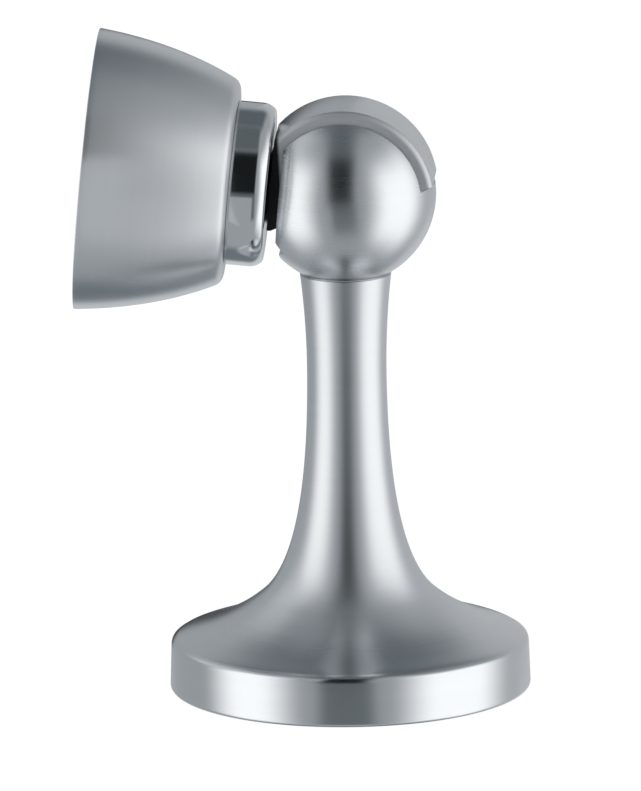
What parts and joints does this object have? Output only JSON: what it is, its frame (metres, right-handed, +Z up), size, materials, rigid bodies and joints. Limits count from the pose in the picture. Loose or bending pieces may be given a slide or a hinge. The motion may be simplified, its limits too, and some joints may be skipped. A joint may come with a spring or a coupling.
{
  "type": "magnetic door holder",
  "caption": "Floor-standing magnetic door holder: trumpet pedestal on a round foot, slotted ball joint, and a tilting bell-shaped cup with a ring magnet.",
  "frame": {"origin": "centre of the floor plate's underside, on the floor", "axes": "+Z up along the pedestal, and the cup's mouth opens towards -X"},
  "size_m": [0.0625, 0.05, 0.0928],
  "materials": {
    "satin_nickel": "satin nickel plate with a fine turned grain",
    "polished_nickel": "polished nickel plate",
    "zinc_steel": "zinc-plated steel",
    "spring_steel": "dark spring steel",
    "magnet_plating": "nickel-plated magnet",
    "black_plastic": "moulded black plastic",
    "acetal": "white acetal",
    "black_rubber": "matt black rubber"
  },
  "bodies": {
    "base": {"pedestal": "satin_nickel", "floor_plate": "zinc_steel"},
    "fork": {"fork_ball": "satin_nickel", "neck_screw": "zinc_steel", "neck_spring_washer": "spring_steel", "neck_washer": "zinc_steel", "pivot_screw": "zinc_steel", "friction_washer_front": "acetal", "friction_washer_rear": "acetal"},
    "head": {"knuckle": "satin_nickel", "collar": "polished_nickel", "cup": "satin_nickel", "cup_screw": "zinc_steel", "cup_washer": "zinc_steel", "magnet_carrier": "black_plastic", "magnet_yoke": "zinc_steel", "magnet": "magnet_plating", "magnet_screw": "zinc_steel", "buffer_ring": "black_rubber", "retaining_ring": "spring_steel"}
  },
  "joints": [
    {"name": "head_swivel", "type": "hinge", "parent": "base", "child": "fork", "pos_m": [0, 0, 0.0587], "axis": [0, 0, 1], "continuous": true},
    {"name": "head_tilt", "type": "hinge", "parent": "fork", "child": "head", "pos_m": [0, 0, 0.06995], "axis": [0, 1, 0], "range_deg": [-15, 0]}
  ]
}
